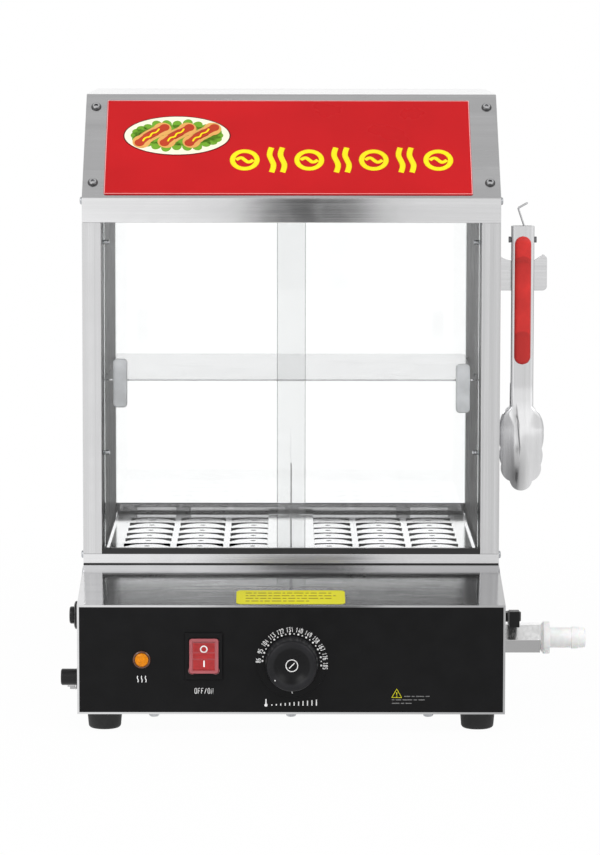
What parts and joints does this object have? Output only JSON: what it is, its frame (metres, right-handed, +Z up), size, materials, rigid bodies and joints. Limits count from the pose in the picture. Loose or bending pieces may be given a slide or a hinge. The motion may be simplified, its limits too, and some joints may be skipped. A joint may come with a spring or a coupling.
{
  "type": "hot dog steamer",
  "caption": "Counter-top food steamer: a glass-fronted stainless cabinet with a leaning sign over a water bath, with sliding panes, trays, a shelf, side drain and hung tongs.",
  "frame": {"origin": "on the ground, in the middle of the four feet", "axes": "+X to the right of someone facing the doors, +Y to the back, +Z up"},
  "size_m": [0.4614, 0.4308, 0.539],
  "materials": {
    "stainless": "satin",
    "polished_steel": "polished",
    "black_film": "gloss",
    "black_plastic": "satin",
    "dial": "satin",
    "rocker": "clear",
    "lamp": "clear",
    "foot_rubber": "matte",
    "door_glass": "clear",
    "frosted_pull": "frosted",
    "sign": "gloss",
    "red_grip": "gloss",
    "brass": "plated",
    "white_plastic": "satin",
    "element": "oxidised",
    "copper": "bare",
    "grey_plastic": "matte"
  },
  "bodies": {
    "housing": {"base_back_panel": "stainless", "base_front_panel": "stainless", "base_side_left": "stainless", "base_side_right": "stainless", "bottom_plate": "stainless", "cable_gland": "black_plastic", "dial_plate": "dial", "door_track_bottom": "black_plastic", "door_track_top": "black_plastic", "drain_pipe": "brass", "earth_stud": "polished_steel", "feet": "foot_rubber", "front_bottom_beam": "stainless", "front_top_beam": "stainless", "heating_element": "element", "hood_front": "stainless", "hose_barb": "white_plastic", "lamp_bezel": "black_plastic", "lamp_lens": "lamp", "liner_studs": "polished_steel", "panel_overlay": "black_film", "panel_screws": "polished_steel", "rear_bottom_rail": "stainless", "rear_glass": "door_glass", "rear_top_rail": "stainless", "reset_housing": "black_plastic", "rocker_housing": "black_plastic", "roof_panel": "stainless", "side_liner_left": "polished_steel", "side_liner_right": "polished_steel", "side_skin_left": "stainless", "side_skin_right": "stainless", "sign_plate": "sign", "sign_screws": "polished_steel", "terminal_block": "white_plastic", "thermostat_body": "grey_plastic", "thermostat_probe": "copper", "tongs_bracket": "stainless", "valve_body": "brass", "water_tank": "stainless"},
    "door_left": {"door_glass_left": "door_glass", "door_pull_left": "frosted_pull"},
    "door_right": {"door_glass_right": "door_glass", "door_pull_right": "frosted_pull"},
    "shelf": {"shelf": "polished_steel"},
    "trays": {"tray_left": "stainless", "tray_right": "stainless"},
    "partition": {"partition": "stainless"},
    "thermostat_knob": {"thermostat_knob": "black_plastic", "thermostat_shaft": "polished_steel"},
    "rocker": {"rocker_button": "rocker"},
    "reset": {"reset_button": "black_plastic"},
    "drain_lever": {"valve_lever": "black_plastic"},
    "tongs": {"tongs_arm_rear": "stainless", "tongs_grip_rear": "red_grip", "tongs_pin": "polished_steel", "tongs_spring": "polished_steel"},
    "tongs_front": {"tongs_arm_front": "stainless", "tongs_grip_front": "red_grip"},
    "tongs_ring": {"tongs_ring": "polished_steel"}
  },
  "joints": [
    {"name": "left_door_slide", "type": "slide", "parent": "housing", "child": "door_left", "axis": [1, 0, 0], "range_m": [0, 0.15]},
    {"name": "right_door_slide", "type": "slide", "parent": "housing", "child": "door_right", "axis": [-1, 0, 0], "range_m": [0, 0.15]},
    {"name": "shelf_lift", "type": "slide", "parent": "housing", "child": "shelf", "axis": [0, 0, 1], "range_m": [0, 0.05]},
    {"name": "trays_lift", "type": "slide", "parent": "housing", "child": "trays", "axis": [0, 0, 1], "range_m": [0, 0.03]},
    {"name": "partition_lift", "type": "slide", "parent": "trays", "child": "partition", "axis": [0, 0, 1], "range_m": [0, 0.035]},
    {"name": "thermostat_turn", "type": "hinge", "parent": "housing", "child": "thermostat_knob", "pos_m": [0.0005, -0.2055, 0.0616], "axis": [0, 1, 0], "range_deg": [0, 230]},
    {"name": "power_rocker", "type": "hinge", "parent": "housing", "child": "rocker", "pos_m": [-0.0744, -0.204, 0.0673], "axis": [1, 0, 0], "range_deg": [0, 14]},
    {"name": "reset_press", "type": "slide", "parent": "housing", "child": "reset", "axis": [1, 0, 0], "range_m": [0, 0.0025], "stiffness_N_per_m": 600, "springref_m": -0.001},
    {"name": "drain_lever_turn", "type": "hinge", "parent": "housing", "child": "drain_lever", "pos_m": [0.1974, -0.042, 0.0718], "axis": [0, 0, 1], "range_deg": [0, 90]},
    {"name": "tongs_lift_off", "type": "slide", "parent": "housing", "child": "tongs", "axis": [0.5, 0, 0.866], "range_m": [0, 0.15]},
    {"name": "tongs_opening", "type": "hinge", "parent": "tongs", "child": "tongs_front", "pos_m": [0.2035, -0.055, 0.4133], "axis": [-1, 0, 0], "range_deg": [0, 25]},
    {"name": "tongs_ring_slide", "type": "slide", "parent": "tongs", "child": "tongs_ring", "axis": [0.3211, 0, -0.947], "range_m": [0, 0.005]}
  ]
}
